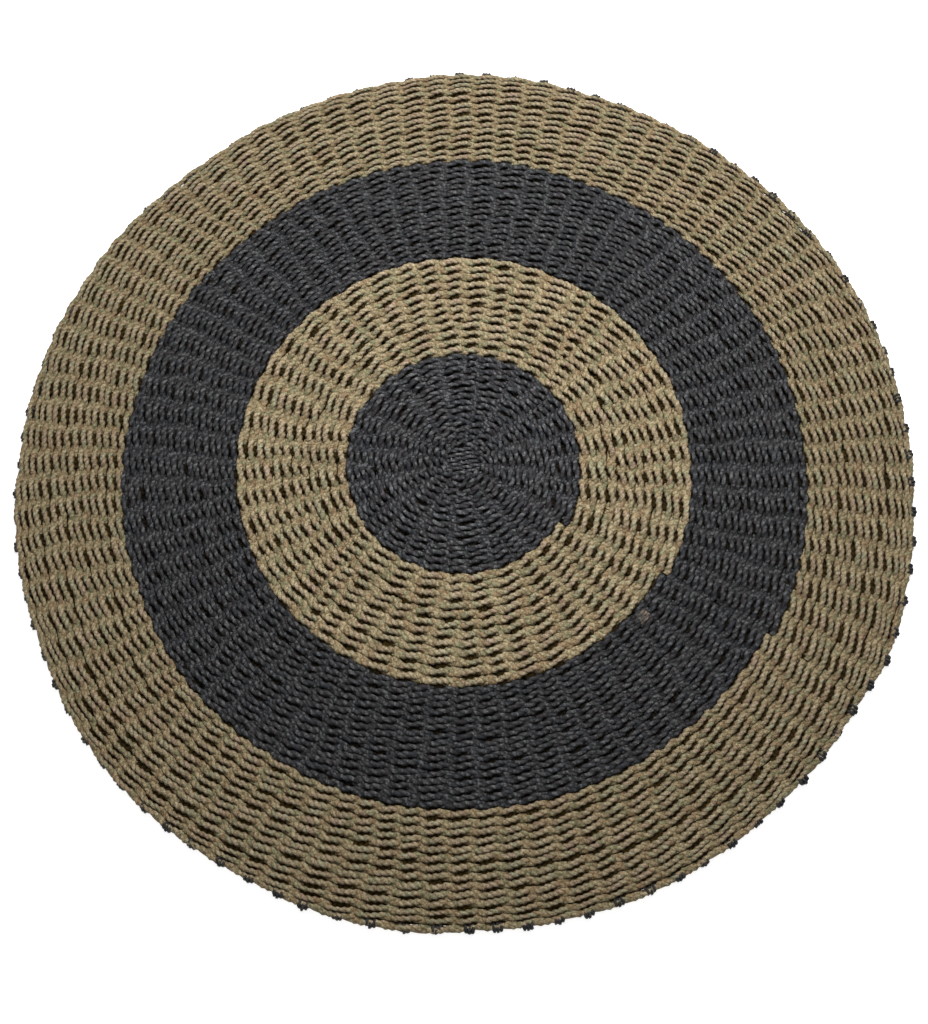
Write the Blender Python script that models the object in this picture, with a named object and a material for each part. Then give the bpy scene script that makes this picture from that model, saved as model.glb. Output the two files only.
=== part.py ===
"""Round mat of twined seagrass cord, 1.2 m across, as one flat woven solid.

Dark warps run out from the centre like spokes, and two strands of cord twine round them in one
long spiral: dark, natural, dark and natural bands. The solid has the mat's uneven outline, the
warps as shallow ribs on its upper face, the thicker cord of the natural bands as a low step, and
the warps' turned-in ends as small knobs round its rim. It lies on its flat underside, with the
origin under the centre of its rings.
"""

from math import cos, pi, radians, sin, tau

import bmesh
import bpy

# Driving sizes, in metres
RIM_RADIUS = 0.5976
NATURAL_THICKNESS = 0.0126
DARK_THICKNESS = 0.0120
RIB_HEIGHT = 0.0009
KNOB_REACH = 0.0011
EDGE_STEP_WIDTH = 0.006
CENTRE_RIB_START = 0.020

# Colour bands, from the centre out: the radius where each ends, as a share of the rim's
BANDS = (
    # name, ends at, thickness
    ("dark centre", 0.262, DARK_THICKNESS),
    ("inner natural", 0.502, NATURAL_THICKNESS),
    ("dark ring", 0.762, DARK_THICKNESS),
    ("outer natural", 1.0, NATURAL_THICKNESS),
)

# Zones with one number of warps each: where each starts, and the sections across it
WARP_ZONES = (
    # starts at (share of the rim's radius), warps, sections
    (0.034, 16, 2),
    (0.140, 32, 3),
    (0.345, 48, 2),
    (0.500, 72, 3),
    (0.720, 96, 4),
)

# Where the outline leaves its circle: soft lobes, each with the angle that it spreads to
# on its low side and its high side
LOBES = (
    # place, angle, low side, high side (degrees), height
    ("right", 15.0, 12.0, 12.0, 0.0024),
    ("top", 85.0, 24.0, 26.0, 0.0100),
    ("top left", 108.0, 14.0, 14.0, 0.0034),
    ("upper flat", 128.0, 12.0, 14.0, -0.0038),
    ("left", 187.0, 20.0, 18.0, 0.0024),
    ("lower left", 216.0, 18.0, 30.0, 0.0058),
    ("bottom", 252.0, 16.0, 20.0, 0.0044),
    ("bottom right", 292.0, 30.0, 14.0, 0.0020),
    ("end of the last row", 326.0, 5.0, 28.0, 0.0090),
)

# Long low swells of the upper face: waves round the mat, where they start, and their height
SWELLS = (
    # waves, start angle (degrees), height
    (2, 70.0, 0.00025),
    (3, 15.0, 0.00020),
    (5, 40.0, 0.00015),
)

# Section of the rounded rim, from its top edge to the underside: inset from the outline, and
# height as a share of the thickness
RIM_SECTION = (
    # inset, height share
    (0.0052, 0.985),
    (0.0018, 0.82),
    (0.0000, 0.50),
    (0.0014, 0.16),
    (0.0040, 0.0),
)

# Rings of the flat underside inside the rim: share of the rim's radius, and points
UNDERSIDE_RINGS = (
    # share, points
    (0.75, 96),
    (0.40, 32),
)

DARK_CORD = (0.045, 0.047, 0.052, 1.0)
CORD_ROUGHNESS = 0.8


def lobe_height(angle):
    """How far the lobes move the outline out at an angle in radians."""
    height = 0.0
    for _, at, low_side, high_side, reach in LOBES:
        turn = (angle - radians(at) + pi) % tau - pi
        spread = radians(low_side if turn < 0.0 else high_side)
        if abs(turn) < spread:
            height += reach * (0.5 + 0.5 * cos(pi * turn / spread))
    return height


def outline_radius(angle):
    """Radius of the mat's edge, without its knobs."""
    return RIM_RADIUS + lobe_height(angle)


def local_radius(share, angle):
    """Radius of a ring of the weave; the lobes fade quickly towards the centre."""
    return share * RIM_RADIUS + share**4 * lobe_height(angle)


def swell(share, angle):
    """Height of the face's long low waves."""
    height = 0.0
    for waves, start, reach in SWELLS:
        height += reach * sin(waves * (angle - radians(start)))
    return share * height


def band_thickness(share):
    """Thickness at a radius, with a short ramp where one band meets the next."""
    half_ramp = 0.5 * EDGE_STEP_WIDTH / RIM_RADIUS
    thickness = BANDS[-1][2]
    for (_, ends_at, inner), (_, _, outer) in zip(BANDS, BANDS[1:]):
        if share < ends_at + half_ramp:
            across = max(0.0, (share - ends_at + half_ramp) / (2.0 * half_ramp))
            thickness = inner + (outer - inner) * across
            break
    return thickness


def rib(share, angle, warps):
    """Height of the ribs that the warps raise; they fade out at the plain centre."""
    fade = min(1.0, share * RIM_RADIUS / CENTRE_RIB_START - 0.5)
    return 0.5 * RIB_HEIGHT * fade * cos(warps * angle)


def ring_angles(points):
    """Evenly spaced angles, one on every warp and one between each two."""
    return [tau * step / points for step in range(points)]


def face_ring(bm, share, warps, inset=0.0):
    """A ring of points on the upper face, with a crest and a trough for each warp."""
    ring = []
    for angle in ring_angles(2 * warps):
        radius = local_radius(share, angle) - inset
        height = band_thickness(share) + rib(share, angle, warps) + swell(share, angle)
        ring.append((angle, bm.verts.new((radius * cos(angle), radius * sin(angle), height))))
    return ring


def rim_ring(bm, inset, height_share, warps):
    """A ring of the rounded rim, which stands out in a small knob at each warp's end."""
    ring = []
    for angle in ring_angles(2 * warps):
        bulge = 1.0 - abs(2.0 * height_share - 1.0)
        knob = KNOB_REACH * bulge * cos(warps * angle)
        radius = outline_radius(angle) - inset + knob
        top = NATURAL_THICKNESS + rib(1.0, angle, warps) + swell(1.0, angle)
        ring.append((angle, bm.verts.new((radius * cos(angle), radius * sin(angle), height_share * top))))
    return ring


def flat_ring(bm, share, points):
    """A ring of points on the flat underside."""
    ring = []
    for angle in ring_angles(points):
        radius = share * RIM_RADIUS
        ring.append((angle, bm.verts.new((radius * cos(angle), radius * sin(angle), 0.0))))
    return ring


def join_rings(bm, inner, outer, upwards=True):
    """Faces between two rings, which may have different numbers of points."""
    i = 0
    o = 0
    while i < len(inner) or o < len(outer):
        inner_angle = inner[(i + 1) % len(inner)][0] + tau * ((i + 1) // len(inner))
        outer_angle = outer[(o + 1) % len(outer)][0] + tau * ((o + 1) // len(outer))
        here_in = inner[i % len(inner)][1]
        here_out = outer[o % len(outer)][1]
        next_in = inner[(i + 1) % len(inner)][1]
        next_out = outer[(o + 1) % len(outer)][1]
        if abs(inner_angle - outer_angle) < 1e-6:
            corners = [here_in, here_out, next_out, next_in]
            i += 1
            o += 1
        elif outer_angle < inner_angle:
            corners = [here_in, here_out, next_out]
            o += 1
        else:
            corners = [here_in, here_out, next_in]
            i += 1
        if not upwards:
            corners.reverse()
        bm.faces.new(corners)


def close_centre(bm, ring, height, upwards=True):
    """Faces from a point on the mat's axis to its innermost ring."""
    middle = bm.verts.new((0.0, 0.0, height))
    for (_, here), (_, after) in zip(ring, ring[1:] + ring[:1]):
        corners = [middle, here, after] if upwards else [middle, after, here]
        bm.faces.new(corners)


def face_shares():
    """Where the upper face has its rings: even steps in each zone, and both sides of each ramp."""
    shares = []
    half_ramp = 0.5 * EDGE_STEP_WIDTH / RIM_RADIUS
    edges = [ends_at for _, ends_at, _ in BANDS[:-1]]
    limit = 1.0 - 2.0 * half_ramp
    zone_ends = [zone[0] for zone in WARP_ZONES[1:]] + [limit]
    for (start, warps, sections), end in zip(WARP_ZONES, zone_ends):
        for step in range(sections):
            share = start + (end - start) * step / sections
            if all(abs(share - edge) > 4.0 * half_ramp for edge in edges):
                shares.append((share, warps))
        for edge in edges:
            if start <= edge < end:
                shares.append((edge - half_ramp, warps))
                shares.append((edge + half_ramp, warps))
    return sorted(shares)


def make_cord_material():
    """Dry, matt seagrass cord."""
    material = bpy.data.materials.new("seagrass_cord")
    material.use_nodes = True
    shader = material.node_tree.nodes["Principled BSDF"]
    shader.inputs["Base Color"].default_value = DARK_CORD
    shader.inputs["Roughness"].default_value = CORD_ROUGHNESS
    shader.inputs["Metallic"].default_value = 0.0
    return material


def make_mat():
    """The mat: upper face, rounded rim and flat underside as one closed body."""
    bm = bmesh.new()
    rim_warps = WARP_ZONES[-1][1]

    rings = [face_ring(bm, share, warps) for share, warps in face_shares()]
    rings += [rim_ring(bm, inset, height_share, rim_warps) for inset, height_share in RIM_SECTION]
    for inner, outer in zip(rings, rings[1:]):
        join_rings(bm, inner, outer)
    close_centre(bm, rings[0], DARK_THICKNESS)

    under = [rings[-1]] + [flat_ring(bm, share, points) for share, points in UNDERSIDE_RINGS]
    for outer, inner in zip(under, under[1:]):
        join_rings(bm, inner, outer, upwards=False)
    close_centre(bm, under[-1], 0.0, upwards=False)

    bmesh.ops.recalc_face_normals(bm, faces=bm.faces)
    mesh = bpy.data.meshes.new("mat")
    bm.to_mesh(mesh)
    bm.free()
    mesh.shade_smooth()
    mesh.set_sharp_from_angle(angle=radians(50.0))
    mat = bpy.data.objects.new("mat", mesh)
    bpy.context.scene.collection.objects.link(mat)
    mesh.materials.append(make_cord_material())
    return mat


def main():
    for old in list(bpy.data.objects):
        bpy.data.objects.remove(old, do_unlink=True)
    make_mat()


main()
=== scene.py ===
"""Round rug twined from seagrass cord: its cords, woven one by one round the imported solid.

Flat bundles of dark warp cords run out from the centre, and two strands twine round them along one
spiral. Over every warp one strand shows, with a dark slot to the next row; between warps the two
strands cross. Lengths are in metres. A place on the rug is given by its turn, which runs clockwise
from the seam where the spiral steps out by one row, and by its row, counted from the centre patch.
"""

from functools import partial

import bmesh
import bpy
import numpy as np
from bpy.props import FloatProperty, FloatVectorProperty, IntProperty, PointerProperty
from mathutils import Matrix, Vector


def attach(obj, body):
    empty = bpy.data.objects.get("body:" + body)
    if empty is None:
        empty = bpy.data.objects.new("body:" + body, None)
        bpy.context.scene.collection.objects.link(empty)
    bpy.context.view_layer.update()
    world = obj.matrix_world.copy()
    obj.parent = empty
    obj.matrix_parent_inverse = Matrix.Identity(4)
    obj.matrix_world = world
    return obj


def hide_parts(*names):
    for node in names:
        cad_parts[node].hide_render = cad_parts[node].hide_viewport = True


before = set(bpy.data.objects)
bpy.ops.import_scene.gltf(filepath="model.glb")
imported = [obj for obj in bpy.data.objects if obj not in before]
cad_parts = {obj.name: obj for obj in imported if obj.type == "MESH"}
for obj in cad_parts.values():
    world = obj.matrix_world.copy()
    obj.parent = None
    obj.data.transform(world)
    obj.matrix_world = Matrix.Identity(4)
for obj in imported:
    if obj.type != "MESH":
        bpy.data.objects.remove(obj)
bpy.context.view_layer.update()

bl_info = {
    "name": "Twined Seagrass Rug",
    "version": (1, 0, 0),
    "blender": (4, 5, 0),
    "location": "View3D > Sidebar > Seagrass Rug",
    "description": "Weaves a round two-colour seagrass rug cord by cord",
    "category": "Add Mesh",
}

TURN = 2.0 * np.pi

# Outline, the same as the solid's: a circle with soft lobes, and the angle where turns start
RIM_RADIUS = 0.5976
SEAM_ANGLE = np.radians(325.0)
LOBES = (
    # place, angle, low side, high side (degrees), height
    ("right", 15.0, 12.0, 12.0, 0.0024),
    ("top", 85.0, 24.0, 26.0, 0.0100),
    ("top left", 108.0, 14.0, 14.0, 0.0034),
    ("upper flat", 128.0, 12.0, 14.0, -0.0038),
    ("left", 187.0, 20.0, 18.0, 0.0024),
    ("lower left", 216.0, 18.0, 30.0, 0.0058),
    ("bottom", 252.0, 16.0, 20.0, 0.0044),
    ("bottom right", 292.0, 30.0, 14.0, 0.0020),
)

# Rows of weft, from the centre patch out
CENTRE_SHARE = 0.034
BANDS = (
    # rows, the band's outer edge as a share of the rim's radius
    (14, 0.260),
    (12, 0.508),
    (16, 0.762),
    (11, 0.957),
    (3, 0.999),
)

# Warps are added as the rug grows: a group of old ones opens into a larger group
WARP_ZONES = (
    # first row, warps in a turn, old warps in a group, where the group's warps start (old spacings)
    (0, 16, 1, (0.5,)),
    (10, 32, 1, (0.36, 0.64)),
    (18, 48, 2, (0.5, 1.0, 1.5)),
    (26, 72, 2, (0.5, 1.0, 1.5)),
    (41, 96, 3, (0.5, 1.05, 1.6, 2.5)),
)
OPENING_ROWS = 2.5

# The pieces that the weft is made in: one cord each
WEFT_PIECES = (
    # piece, cord, first row, row after the last
    ("weft_dark_centre", "dark", 0, 14),
    ("weft_inner_natural", "pale", 14, 26),
    ("weft_dark_ring_inner", "ring", 26, 34),
    ("weft_dark_ring_outer", "ring", 34, 42),
    ("weft_outer_natural_inner", "natural", 42, 47),
    ("weft_outer_natural_edge", "natural", 47, 53),
    ("weft_rim", "rim", 53, 56),
)

# The spiral: a slow drift round the turn, and most of the step out in its last tenth. The last
# row's end is tucked in under the row before it.
DRIFT = 0.25
STEP_STARTS = 0.90
TUCK_STARTS = 0.986
TUCK_DEPTH = 0.9
TUCKED_RISE = -0.3

# Places wander: waves round the rug, waves along the rows, phase, and reach
WARP_WANDER = (
    # waves in a turn, waves in a row, phase, reach
    (3, 0.019, 0.10, 0.0040),
    (8, 0.033, 0.55, 0.0028),
    (14, 0.052, 0.47, 0.0020),
    (29, 0.110, 0.81, 0.0013),
)
ROW_WANDER = (
    (3, 0.170, 0.30, 0.0007),
    (11, 0.390, 0.62, 0.0006),
    (27, 0.730, 0.05, 0.0004),
)

# Warps: cords side by side, and how far their layer drops between one warp and the next, where the layer
# goes on as a dark sheet that is painted shade in the gaps
WARP_CORDS = 3
GAP_DROP = 0.0024

# Cords: the length in which their two plies turn once, and the spacing of points along a strand
NATURAL_PLY_TURN = 0.0088
DARK_PLY_TURN = 0.0132
STEP_LENGTH = 0.0022

# The mat's middle above the floor, and the flat area of the woven sheet
MID_HEIGHT = 0.0063

LengthProperty = partial(FloatProperty, unit="LENGTH")
ShareProperty = partial(FloatProperty, subtype="FACTOR")
ColourProperty = partial(FloatVectorProperty, subtype="COLOR")


class SEAGRASS_PG_sizes(bpy.types.PropertyGroup):
    """Sizes of the cords and of the weave."""

    natural_width: LengthProperty(
        name="Natural Strand Width",
        description="Width of a natural strand of the outer band where it lies over a warp",
        default=0.0076,
    )
    pale_width: LengthProperty(
        name="Pale Strand Width",
        description="Width of a natural strand of the inner band where it lies over a warp",
        default=0.0080,
    )
    rim_width: LengthProperty(
        name="Rim Strand Width",
        description="Width of a strand of the last rows where it lies over a warp",
        default=0.0057,
    )
    dark_width: LengthProperty(
        name="Dark Strand Width",
        description="Width of a dark strand where it lies over a warp",
        default=0.0081,
    )
    crossing_share: ShareProperty(
        name="Crossing Width",
        description="Width of a strand between warps, as a share of its width over one",
        default=1.28,
    )
    outer_crossing_share: ShareProperty(
        name="Outer Crossing Width",
        description="The same share in the outer natural band, where the slots are longer",
        default=1.09,
    )
    dark_crossing_share: ShareProperty(
        name="Dark Crossing Width", description="The same share for a dark strand", default=1.04
    )
    spread: ShareProperty(
        name="Spread",
        description="How far the two strands stand apart between warps, as a share of the row's width",
        default=0.17,
    )
    dark_spread: ShareProperty(
        name="Dark Spread", description="The same share for the dark rows", default=0.22
    )
    strand_thickness: LengthProperty(
        name="Strand Thickness",
        description="Thickness of a strand where it lies over a warp",
        default=0.0044,
    )
    lift: LengthProperty(
        name="Lift",
        description="How far a strand's middle rises above the mat's middle over a warp",
        default=0.0041,
    )
    ply_depth: ShareProperty(
        name="Ply Depth",
        description="How far the two plies of a cord stand out, as a share of its radius",
        default=0.20,
    )
    warp_cord_width: LengthProperty(
        name="Warp Cord Width",
        description="Width of one of the cords that lie side by side in a warp",
        default=0.0072,
    )
    knob_cord_width: LengthProperty(
        name="Turned-in Cord Width",
        description="Width of one of a warp's cords where they turn in at the rim",
        default=0.0048,
    )
    warp_thickness: LengthProperty(
        name="Warp Thickness", description="Thickness of the layer of warp cords", default=0.0038
    )
    sides: IntProperty(name="Cord Sides", description="Sides of a cord's section", default=6, min=6)
    seed: IntProperty(name="Seed", description="Seed of the weave's unevenness", default=11)


class SEAGRASS_PG_colours(bpy.types.PropertyGroup):
    """Colours of the cords and of the floor."""

    straw: ColourProperty(
        name="Straw", description="Palest natural seagrass", default=(0.318, 0.262, 0.158)
    )
    ochre: ColourProperty(
        name="Ochre", description="Warm brown natural seagrass", default=(0.262, 0.187, 0.104)
    )
    olive: ColourProperty(
        name="Olive", description="Greenish natural seagrass", default=(0.222, 0.211, 0.120)
    )
    mauve: ColourProperty(
        name="Mauve", description="Greyish pink natural seagrass", default=(0.299, 0.230, 0.170)
    )
    # Painted highlight: the paler, greyer straw of the crowns where a strand lies highest
    crown_highlight: ColourProperty(
        name="Bleached",
        description="Natural seagrass where the strand lies highest",
        default=(0.305, 0.252, 0.166),
    )
    # Painted highlight: the paler, greyer green of the crowns where a strand lies highest
    sage_highlight: ColourProperty(
        name="Sage",
        description="Greyish green seagrass where the strand lies highest",
        default=(0.262, 0.246, 0.165),
    )
    shadow: ColourProperty(
        name="Shadow Tint",
        description="What multiplies natural seagrass in its grooves and down its flanks",
        default=(0.30, 0.225, 0.115),
    )
    charcoal: ColourProperty(
        name="Charcoal", description="Dyed seagrass", default=(0.0285, 0.0295, 0.0325)
    )
    plum_charcoal: ColourProperty(
        name="Plum Charcoal",
        description="Dyed seagrass where the dye is redder",
        default=(0.0330, 0.0265, 0.0315),
    )
    blue_charcoal: ColourProperty(
        name="Blue Charcoal",
        description="Dyed seagrass where the dye is bluer",
        default=(0.0245, 0.0275, 0.0350),
    )
    # Partly painted shade: the warps' black dye, made darker still so that the slots between rows look
    # deep in shade
    warp_charcoal_and_slot_shade: ColourProperty(
        name="Deep Charcoal",
        description="Dyed warps, seen only in the slots between rows",
        default=(0.0160, 0.0115, 0.0065),
    )
    # Painted bounce light: a brown that stands in for light thrown from the natural cords into the slots
    # of the natural bands
    slot_bounce_brown: ColourProperty(
        name="Stained Warp",
        description="Warps in the slots of the natural bands, browned by the cord round them",
        default=(0.055, 0.033, 0.006),
    )
    faded: ColourProperty(
        name="Faded",
        description="The joined strand's stitch, and the warps' ends that lie lowest",
        default=(0.112, 0.095, 0.076),
    )
    # Partly painted light: the grey of dye worn thin, which is also put on the ply crowns as painted
    # glints
    worn_and_glint_charcoal: ColourProperty(
        name="Worn Charcoal",
        description="Dyed seagrass where its dye is thin",
        default=(0.170, 0.172, 0.176),
    )
    dyed_end: ColourProperty(
        name="Dyed End", description="The warps' turned-in ends", default=(0.026, 0.0235, 0.0235)
    )
    floor: ColourProperty(
        name="Floor", description="Plain pale floor", default=(0.80, 0.80, 0.80)
    )


def smooth(x):
    """Smooth ramp from 0 to 1."""
    x = np.clip(x, 0.0, 1.0)
    return x * x * (3.0 - 2.0 * x)


def row_boundaries():
    """Share of the rim's radius at the start of each row, and at the last row's outer edge."""
    shares = [CENTRE_SHARE]
    for rows, outer in BANDS:
        pitch = (outer - shares[-1]) / rows
        shares += [shares[-1] + pitch * (step + 1) for step in range(rows)]
    return np.array(shares)


ROW_SHARES = row_boundaries()
ROWS = len(ROW_SHARES) - 1


def share_at(row):
    """Share of the rim's radius at a row coordinate; past both ends the last pitch goes on."""
    steps = np.arange(ROWS + 1)
    below = np.minimum(row, 0.0) * (ROW_SHARES[1] - ROW_SHARES[0])
    above = np.maximum(row - ROWS, 0.0) * (ROW_SHARES[-1] - ROW_SHARES[-2])
    return np.interp(row, steps, ROW_SHARES) + below + above


def pitch_at(row):
    """Distance between rows at a row coordinate."""
    return (share_at(row + 0.5) - share_at(row - 0.5)) * RIM_RADIUS


def lobe_height(angle):
    """How far the lobes move the outline out."""
    height = np.zeros_like(angle)
    for _, at, low_side, high_side, reach in LOBES:
        turn = (angle - np.radians(at) + np.pi) % TURN - np.pi
        spread = np.where(turn < 0.0, np.radians(low_side), np.radians(high_side))
        lobe = reach * (0.5 + 0.5 * np.cos(np.pi * turn / spread))
        height += np.where(np.abs(turn) < spread, lobe, 0.0)
    return height


def spiral_offset(turn):
    """How far a row has moved out at a place in its turn, in rows, about its mean."""
    late = 1.0 - DRIFT
    mean = DRIFT * 0.5 + late * (1.0 - STEP_STARTS) * 0.5
    return DRIFT * turn + late * smooth((turn - STEP_STARTS) / (1.0 - STEP_STARTS)) - mean


def tucked_in(turn):
    """Share to which the last row's end is tucked in under the row before it."""
    return smooth((np.asarray(turn, dtype=float) - TUCK_STARTS) / (1.0 - TUCK_STARTS))


def last_row_offset(turn):
    """How far the last row has moved out at a place in its turn, in rows, with its end tucked in."""
    return spiral_offset(turn) - TUCK_DEPTH * tucked_in(turn)


def wander(waves, turn, row):
    """Sum of the waves of a table at a turn and row."""
    total = 0.0
    for round_rug, along_rows, phase, reach in waves:
        total = total + reach * np.sin(TURN * (round_rug * turn + along_rows * row + phase))
    return total


def place(turn, row, outwards=0.0):
    """Position on the rug, at its middle height, of a turn and a row coordinate."""
    turn = np.asarray(turn, dtype=float)
    share = share_at(row)
    angle = SEAM_ANGLE - TURN * turn
    radius = share * RIM_RADIUS + share**4 * lobe_height(angle) + outwards
    reach = np.maximum(radius, 0.02)
    angle = angle - wander(WARP_WANDER, turn, row) * smooth(share * 4.0) / reach
    height = np.full_like(radius, MID_HEIGHT)
    return np.stack([radius * np.cos(angle), radius * np.sin(angle), height], -1)


def warp_turns(row):
    """Turns of the warps at a row coordinate, in clockwise order, as shares of a turn."""
    zone = max(i for i, entry in enumerate(WARP_ZONES) if row >= entry[0] or i == 0)
    first, warps, old, starts = WARP_ZONES[zone]
    group = len(starts)
    ends = [(step + 0.5) * old / group for step in range(group)]
    opened = float(smooth((row - first) / OPENING_ROWS))
    places = [a + (b - a) * opened for a, b in zip(starts, ends)]
    groups = warps // group
    return np.array([(g * old + p) / (groups * old) for g in range(groups) for p in places])


def crossings(turns):
    """Where the strands cross: half way between warps, and at the seam."""
    between = 0.5 * (turns[1:] + turns[:-1])
    return np.concatenate([[0.0], between, [1.0]])


def feed(tree, node, inputs):
    """Links each input that is given as a socket, and sets any other as a value."""
    for name, value in dict(inputs).items():
        if isinstance(value, bpy.types.NodeSocket):
            tree.links.new(value, node.inputs[name])
        else:
            node.inputs[name].default_value = value


def add_node(tree, kind, inputs=(), **settings):
    """A node with its settings and its inputs."""
    node = tree.nodes.new(kind)
    for name, value in settings.items():
        setattr(node, name, value)
    feed(tree, node, inputs)
    return node


def maths(tree, operation, *values):
    """Result of a maths node."""
    return add_node(tree, "ShaderNodeMath", enumerate(values), operation=operation).outputs[0]


def product(tree, result, *factors):
    """Product of numbers."""
    for factor in factors:
        result = maths(tree, "MULTIPLY", result, factor)
    return result


def vectors(tree, operation, *values, **inputs):
    """Result of a vector maths node."""
    inputs.update(enumerate(values))
    return add_node(tree, "ShaderNodeVectorMath", inputs, operation=operation).outputs["Vector"]


def combined(tree, **parts):
    """Vector of the parts given as X, Y and Z."""
    return add_node(tree, "ShaderNodeCombineXYZ", parts).outputs[0]


def separated(tree, vector):
    """X, Y and Z of a vector."""
    return add_node(tree, "ShaderNodeSeparateXYZ", {"Vector": vector}).outputs


def noise(tree, where, scale=1.0, detail=2.0, roughness=0.5):
    """Value of a noise at a place."""
    inputs = {"Vector": where, "Scale": scale, "Detail": detail, "Roughness": roughness}
    return add_node(tree, "ShaderNodeTexNoise", inputs).outputs[0]


def blend(tree, factor, low, high):
    """Number between low and high."""
    inputs = {0: factor, 2: low, 3: high}
    return add_node(tree, "ShaderNodeMix", inputs, data_type="FLOAT").outputs[0]


def named(tree, name, data_type="FLOAT"):
    """A guide's attribute."""
    node = add_node(tree, "GeometryNodeInputNamedAttribute", {"Name": name}, data_type=data_type)
    return node.outputs["Attribute"]


def shared_tree(name, kind, inputs, output_type, build):
    """A node tree by name, built the first time: build adds its nodes and gives its outputs."""
    tree = bpy.data.node_groups.get(name)
    if tree is None:
        tree = bpy.data.node_groups.new(name, kind)
        for label, socket_type, *default in inputs:
            socket = tree.interface.new_socket(name=label, in_out="INPUT", socket_type=socket_type)
            if default:
                socket.default_value = default[0]
        made = build(tree, tree.nodes.new("NodeGroupInput").outputs)
        for label in made:
            tree.interface.new_socket(name=label, in_out="OUTPUT", socket_type=output_type)
        feed(tree, tree.nodes.new("NodeGroupOutput"), made)
    return tree


GUIDE_NUMBERS = ("across", "rise", "twist", "run", "tint", "fullness")
CORD_INPUTS = (
    ("Guide", "NodeSocketGeometry"),
    ("Spread", "NodeSocketFloat", 0.0028),
    ("Lift", "NodeSocketFloat", 0.0041),
    ("Top Width", "NodeSocketFloat", 0.0072),
    ("Top Thickness", "NodeSocketFloat", 0.0044),
    ("Crossing Width", "NodeSocketFloat", 0.0060),
    ("Crossing Thickness", "NodeSocketFloat", 0.0052),
    ("Ply Depth", "NodeSocketFloat", 0.13),
    ("Sides", "NodeSocketInt", 6),
    ("Cord", "NodeSocketMaterial"),
)


def build_cord(tree, given):
    """Geometry nodes that lay a two-ply cord along each line of a guide."""
    side = named(tree, "side", "FLOAT_VECTOR")
    rise = named(tree, "rise")
    twist = named(tree, "twist")

    # Each guide line becomes a curve, moved in and out and up and down round its row
    curve = add_node(tree, "GeometryNodeMeshToCurve", {"Mesh": given["Guide"]}).outputs["Curve"]
    swing = product(tree, named(tree, "across"), given["Spread"])
    sideways = vectors(tree, "SCALE", side, Scale=swing)
    upwards = combined(tree, Z=product(tree, rise, given["Lift"]))
    moved = {"Geometry": curve, "Offset": vectors(tree, "ADD", sideways, upwards)}
    curve = add_node(tree, "GeometryNodeSetPosition", moved).outputs[0]

    # The curve's own frame goes with its points onto the cord
    kept = tree.nodes.new("GeometryNodeCaptureAttribute")
    for label in ("Centre", "Along", "Side"):
        kept.capture_items.new("VECTOR", label)
    position = tree.nodes.new("GeometryNodeInputPosition").outputs[0]
    tangent = tree.nodes.new("GeometryNodeInputTangent").outputs[0]
    feed(tree, kept, {"Geometry": curve, "Centre": position, "Along": tangent, "Side": side})

    # Any circle does for the section, because its corners are placed below by their numbers
    circle = {"Resolution": given["Sides"], "Radius": 0.001}
    section = add_node(tree, "GeometryNodeCurvePrimitiveCircle", circle)
    corner = tree.nodes.new("GeometryNodeCaptureAttribute")
    corner.capture_items.new("FLOAT", "Corner")
    index = tree.nodes.new("GeometryNodeInputIndex").outputs[0]
    feed(tree, corner, {"Geometry": section.outputs["Curve"], "Corner": index})
    swept = {"Curve": kept.outputs["Geometry"], "Profile Curve": corner.outputs["Geometry"]}
    tube = add_node(tree, "GeometryNodeCurveToMesh", {**swept, "Fill Caps": True}).outputs[0]

    # Two plies: the section stands out on two sides, which turn as the cord runs on
    angle = maths(tree, "DIVIDE", product(tree, corner.outputs["Corner"], TURN), given["Sides"])
    lobe = maths(tree, "SUBTRACT", product(tree, angle, 2.0), product(tree, twist, TURN))
    fullness = maths(tree, "MULTIPLY_ADD", maths(tree, "COSINE", lobe), given["Ply Depth"], 1.0)
    fullness = product(tree, fullness, product(tree, named(tree, "fullness"), 0.5))
    over = product(tree, rise, rise)
    width = blend(tree, over, given["Crossing Width"], given["Top Width"])
    thickness = blend(tree, over, given["Crossing Thickness"], given["Top Thickness"])
    along = kept.outputs["Along"]
    up = vectors(tree, "NORMALIZE", vectors(tree, "CROSS_PRODUCT", along, kept.outputs["Side"]))
    out = vectors(tree, "NORMALIZE", vectors(tree, "CROSS_PRODUCT", up, along))
    cosine = maths(tree, "COSINE", angle)
    sine = maths(tree, "SINE", angle)
    reach_out = vectors(tree, "SCALE", out, Scale=product(tree, cosine, width, fullness))
    reach_up = vectors(tree, "SCALE", up, Scale=product(tree, sine, thickness, fullness))
    skin = vectors(tree, "ADD", kept.outputs["Centre"], vectors(tree, "ADD", reach_out, reach_up))
    tube = add_node(tree, "GeometryNodeSetPosition", {"Geometry": tube, "Position": skin}).outputs[0]

    # What the materials read: the place round the cord and its twist, and the place along it
    around = combined(tree, X=cosine, Y=sine, Z=twist)
    running = combined(tree, X=named(tree, "run"), Y=named(tree, "tint"), Z=rise)
    vector_point = {"data_type": "FLOAT_VECTOR", "domain": "POINT"}
    for label, value in (("section", around), ("cord", running)):
        stored = {"Geometry": tube, "Name": label, "Value": value}
        tube = add_node(tree, "GeometryNodeStoreNamedAttribute", stored, **vector_point).outputs[0]
    for label in GUIDE_NUMBERS + ("side",):
        tube = add_node(tree, "GeometryNodeRemoveAttribute", {"Geometry": tube, "Name": label}).outputs[0]
    smoothed = {"Geometry": tube, "Shade Smooth": True}
    tube = add_node(tree, "GeometryNodeSetShadeSmooth", smoothed).outputs[0]
    tube = add_node(tree, "GeometryNodeRealizeInstances", {"Geometry": tube}).outputs[0]
    finish = {"Geometry": tube, "Material": given["Cord"]}
    return {"Cords": add_node(tree, "GeometryNodeSetMaterial", finish).outputs[0]}


def add_object(name, data):
    """An object of the scene, which shows a mesh, a light or a camera."""
    item = bpy.data.objects.new(name, data)
    bpy.context.scene.collection.objects.link(item)
    return item


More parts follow.
